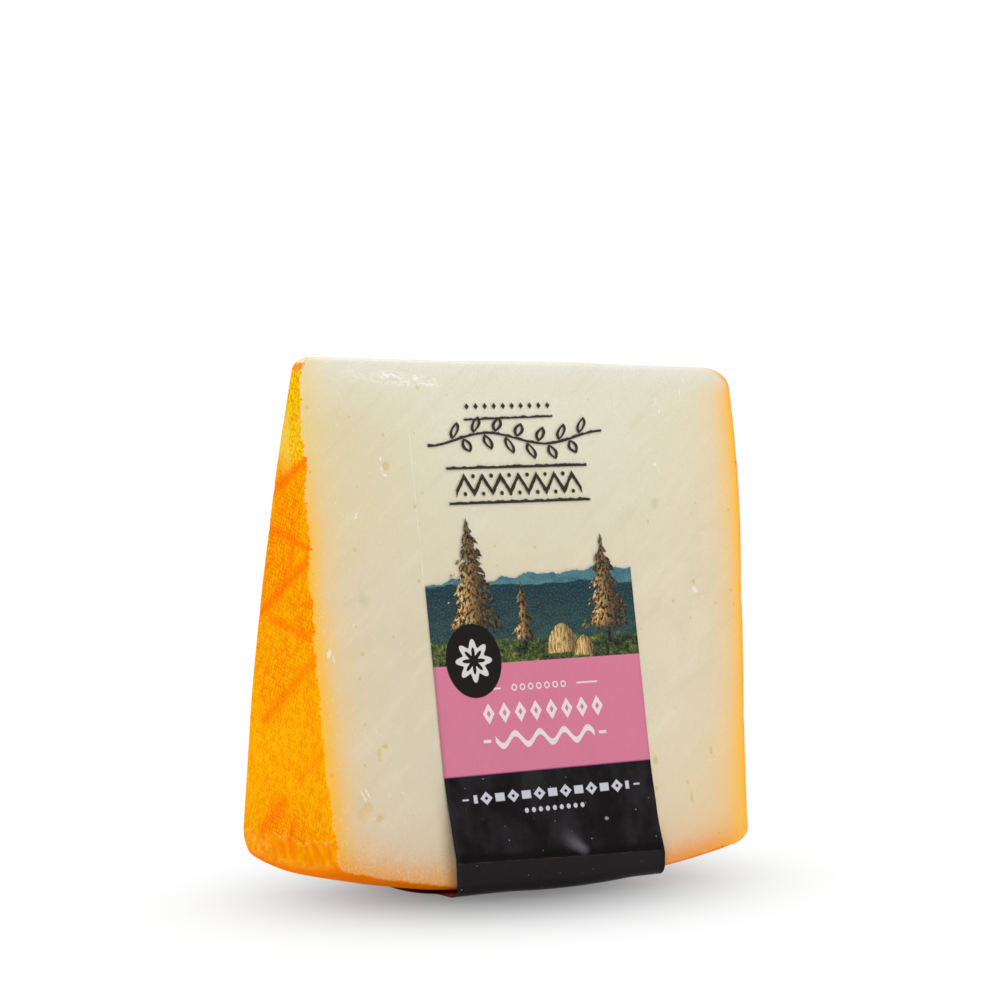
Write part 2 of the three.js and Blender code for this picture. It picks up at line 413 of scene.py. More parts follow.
# Marks that the folds of the cloth left in the rind: from Y and Z, to Y and Z, width, strength
LEFT_MARKS = [
    (-0.8, 69.2, 0.5, 65.6, 1.4, 0.95),
    (2.0, 64.6, 3.0, 62.6, 1.4, 0.95),
    (-4.6, 86.4, 6.8, 81.0, 1.7, 1.0),
    (8.6, 73.3, -6.0, 69.8, 1.5, 0.9),
    (-7.8, 67.8, 12.0, 56.9, 2.0, 1.0),
    (9.0, 55.7, -7.0, 52.4, 1.5, 0.75),
    (-8.9, 47.9, 12.5, 35.2, 2.0, 0.7),
    (5.5, 19.6, 15.5, 13.1, 2.6, 0.85),
    (2.6, 15.0, 4.0, 11.2, 1.4, 1.0),
    (-4.7, 13.8, -6.8, 8.6, 1.2, 0.7),
    (-10.5, 30.0, -2.0, 24.5, 2.0, 0.35),
]
RIGHT_MARKS = [
    (-3.8, 78.0, 7.6, 83.5, 1.9, 0.7),
    (9.5, 66.4, -6.4, 62.0, 1.8, 0.8),
    (-7.5, 58.5, 12.8, 50.2, 2.2, 0.9),
    (13.5, 45.0, -8.6, 38.8, 1.9, 0.8),
    (-10.2, 34.0, 16.8, 22.5, 2.2, 0.9),
    (18.0, 17.5, -10.6, 12.0, 1.8, 0.6),
]
MARK_DEPTH = 0.14


def hole_depth(points):
    x, _, z = points.T
    depth = np.zeros(len(points))
    for hole_x, hole_z, width, height, deep in HOLES:
        across = (2 * (x - hole_x) / width) ** 2 + (2 * (z - hole_z) / height) ** 2
        depth = np.maximum(depth, deep / (1 + across**2))
    return depth


def mark_strength(points):
    """How strongly the cloth marked each point of the two sides, from 0 to 1."""
    strength = np.zeros(len(points))
    for marks, side in ((LEFT_MARKS, -1), (RIGHT_MARKS, 1)):
        here = points[:, 0] * side > 40
        place = points[here][:, 1:]
        for y0, z0, y1, z1, width, strong in marks:
            start, run = np.array([y0, z0]), np.array([y1 - y0, z1 - z0])
            along = np.clip((place - start) @ run / (run @ run), 0, 1)
            away = np.linalg.norm(place - start - along[:, None] * run, axis=1)
            fade = strong * np.exp(-((away / (width * 0.55)) ** 2))
            strength[here] = np.maximum(strength[here], fade)
    return strength


def broad_relief(points):
    """How far the pack's outside stands out of the smooth wedge."""
    cloud = np.array([noise.noise(Vector(p) / 17) for p in points])
    wave = np.array([noise.noise(Vector(p) / 6 + Vector((7, 3, 1))) for p in points])
    x, _, z = points.T
    crown = 0.4 * np.exp(-(((x - 12) / 22) ** 2)) * np.clip((z - 98) / 8, 0, 1) ** 2
    return 0.14 * cloud + 0.04 * wave + crown


CORNER_SHARE = 0.9  # how much of the rounded corners at the tip the rind has


def from_sides(points):
    """How far each point is from the rind of the left side, of the right side and of the rim."""
    x, y, z = points.T
    near = []
    turned_left = LEFT_TURN * y - x
    sides = ((LEFT_SIDE, turned_left, EDGE["left_tip"]), (RIGHT_SIDE, x, EDGE["right_tip"]))
    for side, out, corner in sides:
        up = np.clip(z - TIP_HEIGHT - TIP_RISE * x + corner, 0, corner)
        near.append(side_reach(side, z) - out - CORNER_SHARE * (corner - np.sqrt(corner**2 - up**2)))
    return near[0], near[1], z - RIM_BOTTOM - rim_rise(x, y)


def give(piece, values):
    """Numbers for each point of a piece, which its material reads by their names."""
    for name, numbers in values.items():
        piece.data.attributes.new(name, "FLOAT", "POINT").data.foreach_set("value", numbers)


cheese_points, cheese_squares = wedge_lattice(CHEESE_STEPS, CROWDED)
cheese_points = settled(cheese_points)
cheese_outward = outward_of(cheese_points)
on_front = np.clip(-cheese_outward[:, 1] * 3 - 2, 0, 1)
pits = on_front * hole_depth(cheese_points)
marks = mark_strength(cheese_points)
relief = broad_relief(cheese_points) - pits - MARK_DEPTH * marks
cheese = mesh_piece("cheese", cheese_points + cheese_outward * relief[:, None] - ORIGIN, cheese_squares)
left, right, rim = from_sides(cheese_points)
give(cheese, {"cloth_mark": marks, "from_left": left, "from_right": right, "from_rim": rim})

cheese_material = bpy.data.materials.new("paste_and_rind")
cheese.data.materials.append(cheese_material)
food = Finish(cheese_material)
place = food.stretched(food.node("TexCoord").other("Object"), (METRE,) * 3, ORIGIN)
x = food.node("SeparateXYZ", {}, {0: place})
y = x.other("Y")
z = x.other("Z")
mark, to_left, to_right, over_rim = (
    food.node("Attribute", {"attribute_name": name}, output=2)
    for name in ("cloth_mark", "from_left", "from_right", "from_rim")
)

# The rind's edge is ragged, and wider in the corner over the rim.
ragged = food.noise(place, 1.3, detail=4, roughness=0.7) + food.noise(place, 5) - 1
CORNER = 2.4
near_left = (CORNER - to_left).most(0)
near_rim = (CORNER - over_rim).most(0)
near_right = (CORNER - to_right).most(0)
to_corner = CORNER - (near_left**2 + near_rim**2) ** 0.5
to_rind = to_corner.least(CORNER - (near_right**2 + near_rim**2) ** 0.5)
teeth = food.noise(place, 0.7, detail=1) - 0.5
torn = 0.28 + (ragged * 1.8 + 1.3 * teeth) * (1 - 0.3 * z.falling(58, 66))
torn = torn + 0.3 * z.rising(67, 70) * z.falling(74.4, 75)
torn = torn + 0.9 * z.rising(78, 87) * z.falling(87.2, 87.5) - 0.15 * z.rising(87.2, 87.5)
rind = (to_rind - torn.most(0.08)).falling(-0.05, 0.05) * (z + 0.8 * ragged).falling(105.6, 105.8)

# Orange near the rind: partly the rind's colour spread into the paste, partly a painted glow of the
# rind's light through the translucent paste; less so near the tip.
patch = food.noise(place, 11)
stain_and_glow_left = 1 / (1 + (to_left.most(0.01) / (2.6 + 2.2 * patch)) ** 2.2)
stain_and_glow_left = stain_and_glow_left * (1 - 0.45 * z.rising(70, 90) - 0.08 * z.rising(92, 98))
right_reach = 4.5 + z.falling(20, 45) - 0.5 * z.rising(30, 50) * z.falling(60, 80)
stain_and_glow_right = 1 / (1 + (to_right.most(0.01) / right_reach) ** 2.45)
stain_and_glow_right = stain_and_glow_right * (1 - 0.85 * z.rising(100.5, 105.5))
low_stain_and_glow = 1 / (1 + (over_rim.most(0.01) / 4.0) ** 2.2)
curd = food.noise(place, 9, detail=4)
paste = food.mix(curd.rising(0.3, 0.7), ink(220, 210, 184), ink(226, 216, 190))
# Painted light: the paste is painted lighter towards the foot and darker towards the left, to even out
# how the light falls on the cut.
paste = food.mix(z.falling(8, 55) * 0.6, paste, ink(229, 222, 209))
paste = food.mix(x.falling(-30, 40) * 0.5, paste, ink(213, 203, 176))
yellowed = to_left.falling(8, 40).most(0.3 * to_right.falling(10, 40))
yellowed = yellowed * z.rising(60, 80) * z.falling(92, 106)
paste = food.mix(z.rising(55, 108), paste, ink(228, 225, 204))
paste = food.mix(yellowed * 0.8, paste, ink(220, 208, 172))
paste = food.mix(z.rising(102.5, 105.5) * 0.5, paste, ink(232, 232, 226))

# Fine grain of the cut and faint slanting knife marks, and then the stains.
crumbs = food.noise(place, 0.45, detail=2)
paste = food.mix(crumbs.rising(0.35, 0.7) * 0.2, paste, ink(206, 195, 160))
slant = food.node(
    "Mapping", {"vector_type": "TEXTURE"}, {0: place, 2: (0, math.radians(-40), 0), 3: (9, 1, 1)}
)
knife = food.noise(slant, 2.6, detail=4, roughness=0.6)
paste = food.mix(knife.rising(0.52, 0.75) * 0.17, paste, ink(198, 186, 150))
paste = food.mix(knife.falling(0.3, 0.46) * 0.15, paste, ink(240, 232, 214))
left_colour = food.mix(z.rising(78, 94), ink(252, 190, 60), ink(247, 203, 62))
paste = food.mix(stain_and_glow_left * 0.97, paste, left_colour)
low_yellow = z.rising(6, 14) * z.falling(20, 42) * x.rising(10, 32)
paste = food.mix(low_yellow * 0.32, paste, ink(222, 204, 148))
rim_colour = food.mix(x.rising(-35, 30), ink(238, 158, 60), ink(242, 149, 54))
paste = food.mix(low_stain_and_glow * (0.88 + 0.12 * x.rising(10, 40)), paste, rim_colour)
paste = food.mix(stain_and_glow_right, paste, ink(255, 190, 62))
paste = food.mix(to_right.falling(0.2, 2.4) * 0.75, paste, ink(255, 172, 20))

# Towards the rim the grain is coarser and pale.
frost = crumbs.rising(0.48, 0.7) * z.falling(9, 22) * (1 - 0.6 * x.rising(15, 40))
paste = food.mix(frost * 0.25, paste, ink(250, 230, 198))

# The holes with yellower paste, the wide ones fainter, and then bruises and dots
FAINT_FROM = 1.5
FAR_OFF = 99
on_front = y.falling(-1.3, -1.0)
frayed = 2.4 * ragged
nearest = FAR_OFF
opening = 0
for hole_x, hole_z, width, height, _ in HOLES:
    reach = ((x - hole_x) * (2 / width)) ** 2 + ((z - hole_z) * (2 / height)) ** 2
    if width > FAINT_FROM:
        faintness = (FAINT_FROM / width) ** 1.5
        opening = ((reach + frayed).falling(0.7, 1.4) * faintness).most(opening)
    else:
        nearest = reach.least(nearest)
opening = (nearest + frayed).falling(0.7, 1.4).most(opening)
deep = food.mix((stain_and_glow_left.most(stain_and_glow_right) * 1.6).least(1), ink(211, 190, 128), ink(240, 172, 76))
paste = food.mix(opening * on_front * 0.66, paste, deep)
for spot_x, spot_z, size in BRUISES:
    bruise = ((x - spot_x) ** 2 + (z - spot_z) ** 2) ** 0.5 + 1.2 * ragged
    paste = food.mix(bruise.falling(0.2 * size, size) * on_front * 0.3, paste, ink(178, 170, 136))
face = food.node("CombineXYZ", {}, {0: x, 1: z})
seeds = food.node("TexVoronoi", {"voronoi_dimensions": "2D"}, {0: face, 2: 1 / 8.5})
lot = food.node("SeparateXYZ", {}, {0: seeds.other("Color")})
speck = (seeds - 0.05 * lot**4).falling(0, 0.014)
paste = food.mix(speck * 0.8, paste, ink(244, 236, 196), blend="MULTIPLY")

# Painted highlights: short pale streaks where air under the film's finest creases catches light,
# painted in the paste's own colour; they run down to the right.
crossed = food.node(
    "Mapping", {"vector_type": "TEXTURE"}, {0: place, 2: (0, math.radians(62), 0), 3: (3.2, 1, 1)}
)
glint_streaks = food.noise(crossed, 0.4, detail=1).rising(0.6, 0.78)
gathered = food.noise(place, 8, detail=2).rising(0.5, 0.68)
gathered = gathered.most(0.7 * to_left.rising(0.8, 2) * to_left.falling(3, 6) * z.falling(62, 74))
paste = food.mix(glint_streaks * (0.05 + 0.22 * gathered), paste, ink(250, 247, 236))
# Beside the label's edges, a painted highlight: a pale line where the edges catch light, fainter
# on the right. Lowest on both sides the paste is painted darker, as painted shade from the label.
BAND_TOP = 101.0
BAND_TURN = math.radians(1.7)
EDGE_HIGHLIGHT_LINES = ((22.05, 0.35), (-28.65, 1.2))  # place along X at the label's top, strength
for edge, strong in EDGE_HIGHLIGHT_LINES:
    beside = x - edge - math.tan(BAND_TURN) * (BAND_TOP - z)
    line = abs(beside).falling(0.03, 0.2) * z.rising(52, 60) * z.falling(90, 96) * on_front
    paste = food.mix(line * (knife - 0.38).most(0.05) * strong, paste, ink(255, 252, 240))
beside = beside - 0.15
shade = beside.rising(-3.2, 0) * beside.falling(0, 0.6) * z.falling(10, 30) * on_front
paste = food.mix(shade * 0.6, paste, ink(206, 196, 172), blend="MULTIPLY")
shade = x.rising(10, 20) * x.falling(25, 28.5) * z.falling(4, 14) * on_front
paste = food.mix(shade, paste, ink(231, 234, 228), blend="MULTIPLY")

# The rind: amber with fine upright threads, cloth marks, and a yellow lace pattern at the tip.
mottle = food.noise(food.stretched(place, (1, 1, 0.6)), 8, detail=3)
drift = food.noise(place, 5) * 2.5
fibre = food.node("CombineXYZ", {}, {0: x, 1: y + 0.3 * z, 2: z * 0.6})
thread = food.noise(fibre, 0.7, detail=2, roughness=0.6)
warp = ((y + 0.5 * z + drift) * (math.tau / 1.05)).math("SINE")
weft = ((z - 0.3 * y + drift) * (math.tau / 0.85)).math("SINE")
thread = thread + 0.07 * (1 + warp) * (1 + weft) - 0.07
weave = food.noise(food.stretched(place, (1, 1, 0.5)), 1.7, detail=2)
amber = food.mix(mottle.rising(0.35, 0.65), ink(247, 126, 0), ink(248, 156, 0))
low_tone = food.mix(mottle, ink(255, 146, 0), ink(255, 180, 0))
amber = food.mix(z.falling(30, 50) * z.rising(13, 24), amber, low_tone)
amber = food.mix(thread.rising(0.38, 0.66) * 0.62, amber, ink(255, 192, 0))
amber = food.mix(thread.falling(0.28, 0.46) * 0.42, amber, ink(248, 118, 0))
amber = food.mix(weave.rising(0.5, 0.72) * 0.35, amber, ink(250, 124, 0))
tall = food.stretched(place, (1, 1, 0.7))
cells = food.node("TexVoronoi", {"feature": "DISTANCE_TO_EDGE"}, {0: tall, 2: 1.0})
lace = food.mix((cells + 0.7 * (thread - 0.5)).rising(0.0, 0.24), ink(243, 158, 0), ink(243, 208, 16))
pale = (mottle + 0.05 * y).rising(0.46, 0.62) * (1 - thread.rising(0.45, 0.6)) * z.falling(94, 98)
lace = food.mix(pale * 0.7, lace, ink(240, 206, 96))
amber = food.mix((z + 12 * (mottle - 0.5)).rising(82, 90), amber, lace)
broken = to_left.rising(0.1, 0.5) * weave.rising(0.4, 0.6)
amber = food.mix(broken * y.falling(-1, 3) * 0.5, amber, ink(255, 112, 0))
amber = food.mix(broken * y.rising(0, 4) * z.falling(92, 100) * 0.6, amber, ink(253, 200, 84))
amber = food.mix(food.noise(place, 0.9).rising(0.74, 0.8) * 0.5, amber, ink(255, 226, 130))
amber = food.mix(z.rising(103.4, 105) * 0.8, amber, ink(248, 132, 40))
# Lowest on the sides the rind is smooth, with paler curls along the end of the cloth's print.
hem = 12.5 + 7 * (food.noise(place, 7) - 0.5) - z
plain = food.mix(food.noise(slant, 1.6, detail=3).rising(0.35, 0.65), ink(250, 132, 0), ink(253, 164, 0))
amber = food.mix(hem.rising(-0.2, 0.3) * 0.85, amber, plain)
curl = food.noise(place, 1.5, detail=3, roughness=0.6)
torn_print = hem.rising(-0.5, 0) * hem.falling(0, 0.8) * curl.rising(0.44, 0.6)
amber = food.mix(torn_print * 0.45, amber, ink(250, 196, 80))
curled = abs(curl - 0.5).falling(0.01, 0.05) * hem.rising(0.4, 1.5) * (y - 0.4 * z).rising(4, 12)
at_foot = over_rim.rising(0.6, 1.2) * over_rim.falling(1.8, 2.8)
curled = curled.most(abs(curl - 0.5).falling(0.01, 0.04) * at_foot)
amber = food.mix(curled * 0.3, amber, ink(255, 204, 96))
amber = food.mix(mark * 0.7, amber, ink(255, 98, 0))
amber = food.mix(over_rim.falling(0.3, 2.0) * 0.8, amber, ink(255, 122, 0))
colour = food.mix(rind, paste, amber)

grain = food.noise(place, 0.5, detail=2)
height = to_left.least(to_right).falling(0.1, 0.4) * thread * 0.12 + grain * 0.012
bump = food.node("Bump", {}, {"Height": height, "Distance": 1 / METRE, "Strength": 1.0})
food.surface(
    {
        "Base Color": colour,
        "Roughness": 0.42 + 0.1 * rind,
        "Specular IOR Level": 0.0,
        "Coat Weight": 0.3 - 0.29 * rind,
        "Coat Roughness": 0.12,
        "Normal": bump,
    }
)
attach(cheese, "root")
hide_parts("cheese_wedge")


# The pack: a clear vacuum film, drawn tight over the whole wedge. It spans the small holes, and
# shows by its shine, by fine pleats and by a few painted white glints.
FILM_STEPS = (96, 26, 100)
FILM_GAP = 0.07

film_points, film_squares = wedge_lattice(FILM_STEPS)
film_points = settled(film_points)
film_points += outward_of(film_points) * (broad_relief(film_points) + FILM_GAP)[:, None]
pack_film = mesh_piece("pack_film", film_points - ORIGIN, film_squares)

film_material = bpy.data.materials.new("vacuum_film")
pack_film.data.materials.append(film_material)
sheet = Finish(film_material)
place = sheet.stretched(sheet.node("TexCoord").other("Object"), (METRE,) * 3, ORIGIN)
pleat = sheet.noise(sheet.stretched(place, (0.45, 1, 1.6)), 3.2, detail=3, roughness=0.6)

# Painted highlights, white glints where it is creased: along X and Z, width, height, slant
GLINTS = [
    (-35.6, 87.0, 0.4, 1.5, 0.1),
    (-35.5, 84.9, 0.5, 1.4, -0.1),
    (-34.9, 83.8, 0.9, 0.5, -0.3),
    (-42.2, 75.8, 0.5, 1.5, 0.2),
    (-50.4, 49.3, 1.0, 1.8, 0.3),
    (-49.5, 48.3, 0.4, 1.6, -0.3),
    (-44.9, 21.9, 0.4, 2.6, -0.5),
    (-43.9, 22.3, 0.3, 2.2, -0.5),
    (-42.7, 17.5, 0.5, 0.5, 0.0),
    (31.5, 86.4, 1.0, 0.7, 0.0),
    (39.4, 60.3, 1.3, 1.2, -0.4),
    (33.0, 100.0, 0.3, 2.0, 0.2),
    (40.6, 104.4, 0.35, 1.4, -0.1),
    (39.5, 101.7, 0.4, 1.7, 0.1),
    (33.9, 97.6, 0.4, 1.2, 0.1),
    (32.4, 85.2, 0.4, 1.0, -0.5),
]
x = sheet.node("SeparateXYZ", {}, {0: place})
z = x.other("Z")
nearest = FAR_OFF
for glint_x, glint_z, width, height, slant in GLINTS:
    up = z - glint_z
    across = x - glint_x - slant * up
    nearest = ((across * (2 / width)) ** 2 + (up * (2 / height)) ** 2).least(nearest)
sparkle = sheet.noise(place, 0.32, detail=1).rising(0.4, 0.6)
glint = nearest.falling(0.3, 1.4) * (0.35 + pleat) * (0.45 + 0.55 * sparkle)
# Painted highlights along a wavy crease under the tip, a ragged row of small strokes
crease = z - 103.2 + 0.0045 * (x + 37).most(0) ** 2 + 0.003 * (x + 37).least(0) ** 2 + 2.4 * (pleat - 0.5)
course = sheet.node("CombineXYZ", {}, {0: x * 0.5 + 0.4 * z, 1: crease})
strokes = sheet.noise(course, 0.7, detail=3, roughness=0.6).rising(0.45, 0.6)
strength = x.rising(-50, -34) * (0.35 + 0.65 * x.rising(-38, -32)) * x.falling(-22, -20)
glint = glint.most(abs(crease).falling(0.3, 1.7) * strength * strokes * 0.95)
glint = glint * x.other("Y").falling(-1.3, -1.0)
tint = sheet.mix(glint.rising(0, 0.05), (0.02, 0.02, 0.02, 1), (1, 1, 0.98, 1))
ripple = sheet.node("Bump", {}, {"Height": pleat * 0.08, "Distance": 1 / METRE, "Strength": 1.0})
sheet.surface(
    {
        "Base Color": tint,
        "Roughness": 0.16 + 0.1 * pleat,
        "Alpha": 0.015 + 0.6 * glint,
        "Specular IOR Level": 0.5,
        "Normal": ripple,
    }
)
# Clear film throws no shadow on the cheese under it.
pack_film.visible_shadow = False
pack_film.visible_diffuse = False
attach(pack_film, "root")
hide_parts("cheese_wedge")


# The label: a printed band of thin plastic film with a clear top. It is stuck to the pack's
# front, leaves it near the foot, is folded under the rim and goes up the back.
BAND_WIDTH = 50.4
BAND_THICKNESS = 0.12
BAND_FLAT = 0.06  # height of the middle of the film where the wedge rests on it
BAND_OFFSET = 0.22
BAND_CENTRE = -3.3
BAND_STEPS = (42, 400)
LIFT_FROM = 26.0
LIFT = 1.6
FOLD_HEIGHT = 8.0
FOLD_FALL = 0.035
FRONT_RADIUS = 2.25
BACK_RADIUS = 5.2
BACK_LENGTH = 42.0
FRONT_EDGE_DEPTH = 13.5
FRONT_EDGE_HEIGHT = 1.15
FRONT_EDGE_SLOPE = 0.03
SPOT_DEPTH = 0.5
BUCKLE = 0.3  # how far the film waves where nothing holds it
FRONT_COS = math.cos(math.radians(7.7))
BACK_LEAN = math.radians(13.3)


def smooth(value, low, high):
    t = np.clip((value - low) / (high - low), 0, 1)
    return t * t * (3 - 2 * t)


def band_bends(x):
    """Where the band's course changes along each line of points: the fold, and the two bends."""
    fold = FOLD_HEIGHT - FOLD_FALL * x
    fold_y = front_y(fold) - (BAND_OFFSET + LIFT) / FRONT_COS
    back_z = BAND_FLAT + BACK_RADIUS
    back_centre = back_y(back_z) + (BAND_OFFSET - BACK_RADIUS) / math.cos(BACK_LEAN)
    lengths = [
        (BAND_TOP - fold) / FRONT_COS,
        fold - BAND_FLAT - FRONT_RADIUS,
        np.full_like(x, FRONT_RADIUS * math.pi / 2),
        back_centre - fold_y - FRONT_RADIUS,
        np.full_like(x, BACK_RADIUS * (math.pi / 2 + BACK_LEAN)),
    ]
    return fold, fold_y, back_z, back_centre, lengths


def band_rise(x, y):
    """How far the film's underside is above the surface."""
    rim = rim_rise(x, np.maximum(y, -FRONT_EDGE_DEPTH))
    under_rim = np.maximum(rim - SPOT_DEPTH, 0)
    front_edge = FRONT_EDGE_HEIGHT + FRONT_EDGE_SLOPE * (x + BAND_WIDTH / 2)
    share = smooth(-y, 4, FRONT_EDGE_DEPTH)
    return np.minimum(under_rim + (front_edge - under_rim) * share, rim)


def band_middle(across, along):
    """Points in the middle of the film's thickness."""
    x = BAND_CENTRE + across * math.cos(BAND_TURN) + along * math.sin(BAND_TURN)
    rest = along * math.cos(BAND_TURN) - across * math.sin(BAND_TURN)
    fold, fold_y, back_z, back_centre, lengths = band_bends(x)
    starts = np.cumsum([np.zeros_like(x)] + lengths, axis=0)
    down, drop, front_bend, flat, back_bend, tail = (rest - start for start in starts)

    down_z = BAND_TOP - down * FRONT_COS
    lifted = np.clip((LIFT_FROM - down_z) / (LIFT_FROM - fold), 0, 1) ** 1.6
    front_turn = front_bend / FRONT_RADIUS
    back_turn = back_bend / BACK_RADIUS
    courses = [
        (front_y(down_z) - (BAND_OFFSET + LIFT * lifted) / FRONT_COS, down_z),
        (fold_y, fold - drop),
        (
            fold_y + FRONT_RADIUS * (1 - np.cos(front_turn)),
            BAND_FLAT + FRONT_RADIUS * (1 - np.sin(front_turn)),
        ),
        (fold_y + FRONT_RADIUS + flat, np.full_like(x, BAND_FLAT)),
        (back_centre + BACK_RADIUS * np.sin(back_turn), back_z - BACK_RADIUS * np.cos(back_turn)),
        (
            back_centre + BACK_RADIUS * math.cos(BACK_LEAN) - tail * math.sin(BACK_LEAN),
            back_z + BACK_RADIUS * math.sin(BACK_LEAN) + tail * math.cos(BACK_LEAN),
        ),
    ]
    stretch = (rest[None] > starts[1:]).sum(axis=0)
    y = np.choose(stretch, [course[0] for course in courses])
    z = np.choose(stretch, [course[1] for course in courses])
    low = np.where(y > RIM_LOWEST[1], 1, 1 - smooth(z, 2, FOLD_HEIGHT))
    z = z + band_rise(x, np.minimum(y, back_y(0) - EDGE["back_rim"])) * low
    return np.stack([x, y, z], axis=-1)


na, nl = BAND_STEPS
band_length = sum(float(length) for length in band_bends(np.zeros(1))[4]) + BACK_LENGTH
across, along = np.meshgrid(
    np.linspace(-0.5, 0.5, na + 1) * BAND_WIDTH, np.linspace(0, band_length, nl + 1), indexing="ij"
)
middle = band_middle(across, along)
sideways = band_middle(across + 0.05, along) - band_middle(across - 0.05, along)
onward = band_middle(across, along + 0.05) - band_middle(across, along - 0.05)
outward = np.cross(onward, sideways)
outward /= np.linalg.norm(outward, axis=-1)[..., None]
bulge = broad_relief(middle.reshape(-1, 3)).reshape(across.shape) * smooth(middle[..., 2], 8, 16)
crease = np.array([noise.noise(Vector((a / 11, l / 7, 3))) for a, l in zip(across.flat, along.flat)])
on_front = middle[..., 1] < 0
free = smooth(-middle[..., 2], -26, -12) * smooth(middle[..., 2], 1, 4) * on_front
bulge += BUCKLE * crease.reshape(across.shape) * free
faces = [middle + outward * (bulge + side * BAND_THICKNESS / 2)[..., None] for side in (-1, 1)]
band_points = np.concatenate([face.reshape(-1, 3) for face in faces])
number = np.arange(len(band_points)).reshape(2, na + 1, nl + 1)
band_squares = np.concatenate(
    [
        squares_of(number[0]),
        squares_of(number[1])[:, ::-1],
        squares_of(number[:, 0, :]),
        squares_of(number[:, -1, :])[:, ::-1],
        squares_of(number[:, :, 0])[:, ::-1],
        squares_of(number[:, :, -1]),
    ]
)
band = mesh_piece("label_film", band_points - ORIGIN, band_squares)
corner_numbers = np.empty(len(band.data.loops), dtype=int)
band.data.loops.foreach_get("vertex_index", corner_numbers)
print_place = np.stack([across.ravel() / 100 + 0.5, along.ravel() / 250], axis=1)
print_place = np.concatenate([print_place, print_place])[corner_numbers]
band.data.uv_layers.new(name="print").data.foreach_set("uv", print_place.ravel())

label_material = bpy.data.materials.new("printed_film")
band.data.materials.append(label_material)
press = Finish(label_material)
place = press.node("UVMap", {"uv_map": "print"})
where = press.node("SeparateXYZ", {}, {0: place})
a = (where - 0.5) * 100  # across, from the middle of the band
l = where.other("Y") * 250  # along, from its top edge
paper = press.node("CombineXYZ", {}, {0: a, 1: l})
wobble = press.noise(paper, 1.6, detail=3, roughness=0.6) - 0.5


def within(value, middle, half, soft=0.1):
    return abs(value - middle).falling(half - soft, half + soft)


def oval(middle_a, middle_l, half_a, half_l):
    """0 in the middle of an oval and 1 on its edge."""
    return (((a - middle_a) / half_a) ** 2 + ((l - middle_l) / half_l) ** 2) ** 0.5


# The picture: far and near hills, a meadow, larches in low sun, and two stacks of hay.
PICTURE_END = 54.75
LARCHES = [  # middle across, tip and foot along, half width
    (-14.2, 25.2, 51.6, 6.3),
    (-2.6, 38.4, 52.6, 3.0),
    (18.2, 29.6, 52.0, 5.6),
]
STACKS = [(6.4, 53.6, 3.9, 6.2), (11.6, 54.3, 2.5, 4.2)]  # middle, foot, half width, height
ridge = press.noise(press.stretched(paper, (1, 0, 0), (31, 0, 0)), 8.5, detail=5)
skyline = 37.4 - 0.05 * a - 7.0 * (ridge - 0.5)
cover = (l - skyline).rising(-0.1, 0.1)
near_ridge = press.noise(press.stretched(paper, (1, 0, 0), (5, 0, 0)), 12, detail=5)
near_line = 39.2 + 0.02 * a - 4.0 * (near_ridge - 0.5)
slopes = press.noise(press.stretched(paper, (1, 2.2, 1)), 4, detail=4, roughness=0.6)
picture = press.mix(slopes.rising(0.3, 0.7), ink(58, 104, 119), ink(86, 130, 136))
hills = press.mix(l.rising(38, 53), ink(30, 58, 70), ink(56, 82, 76))
hills = press.mix(slopes.rising(0.35, 0.65) * 0.6, hills, ink(30, 52, 54))
picture = press.mix((l - near_line).rising(-0.12, 0.12), picture, hills)
bushes = press.noise(press.stretched(paper, (1.3, 1, 1)), 1.1, detail=4, roughness=0.7)
clumps = press.noise(paper, 4.5, detail=2)
grass = press.mix((bushes + 0.6 * (clumps - 0.5)).rising(0.34, 0.62), ink(26, 34, 22), ink(86, 98, 46))
grass = press.mix((bushes + 0.5 * (clumps - 0.5)).rising(0.58, 0.7) * 0.8, grass, ink(164, 166, 92))
picture = press.mix((l + 4 * (bushes - 0.5) + 2 * (clumps - 0.5)).rising(50.1, 50.7), picture, grass)
from_trunk = abs(a - LARCHES[0][0])
for middle, *_ in LARCHES[1:]:
    from_trunk = abs(a - middle).least(from_trunk)
hanging = l - 0.5 * from_trunk
twigs = press.noise(press.node("CombineXYZ", {}, {0: a * 1.4, 1: hanging}), 0.9, detail=4, roughness=0.65)
boughs = press.noise(press.node("CombineXYZ", {}, {0: a * 0.5, 1: hanging}), 1.3, detail=2)
gold = press.mix(twigs.rising(0.4, 0.54), ink(38, 28, 20), ink(164, 118, 58))
gold = press.mix(twigs.rising(0.5, 0.62), gold, ink(238, 208, 150))
for middle, tip, foot, half in LARCHES:
    down = (l - tip) / (foot - tip)
    side = a - middle
    trunk = (0.12 + 0.35 * down - abs(side)).rising(0, 0.15)
    trunk = trunk * within(l, (tip + foot) / 2, (foot - tip) / 2)
    picture = press.mix(trunk, picture, ink(36, 28, 24))
    crown = down.most(0) ** 0.85 * half * (2.9 * boughs - 0.5) + 1.6 * (twigs - 0.5) - abs(side)
    crown = crown.rising(-0.05, 0.2) * down.rising(0, 0.01)
    crown = crown * (down + 0.4 * (twigs - 0.5)).falling(0.84, 0.88)
    dim = (side / half + 2.2 * (twigs - 0.5)).rising(-0.3, 0.4).most(down.falling(0.25, 0.6) * 0.8)
    picture = press.mix(crown, picture, press.mix(dim * 0.85, gold, ink(30, 24, 20)))
    cover = cover.most(crown).most(trunk)
straw = press.noise(press.stretched(paper, (2.6, 0.6, 1)), 1.1, detail=4, roughness=0.6)
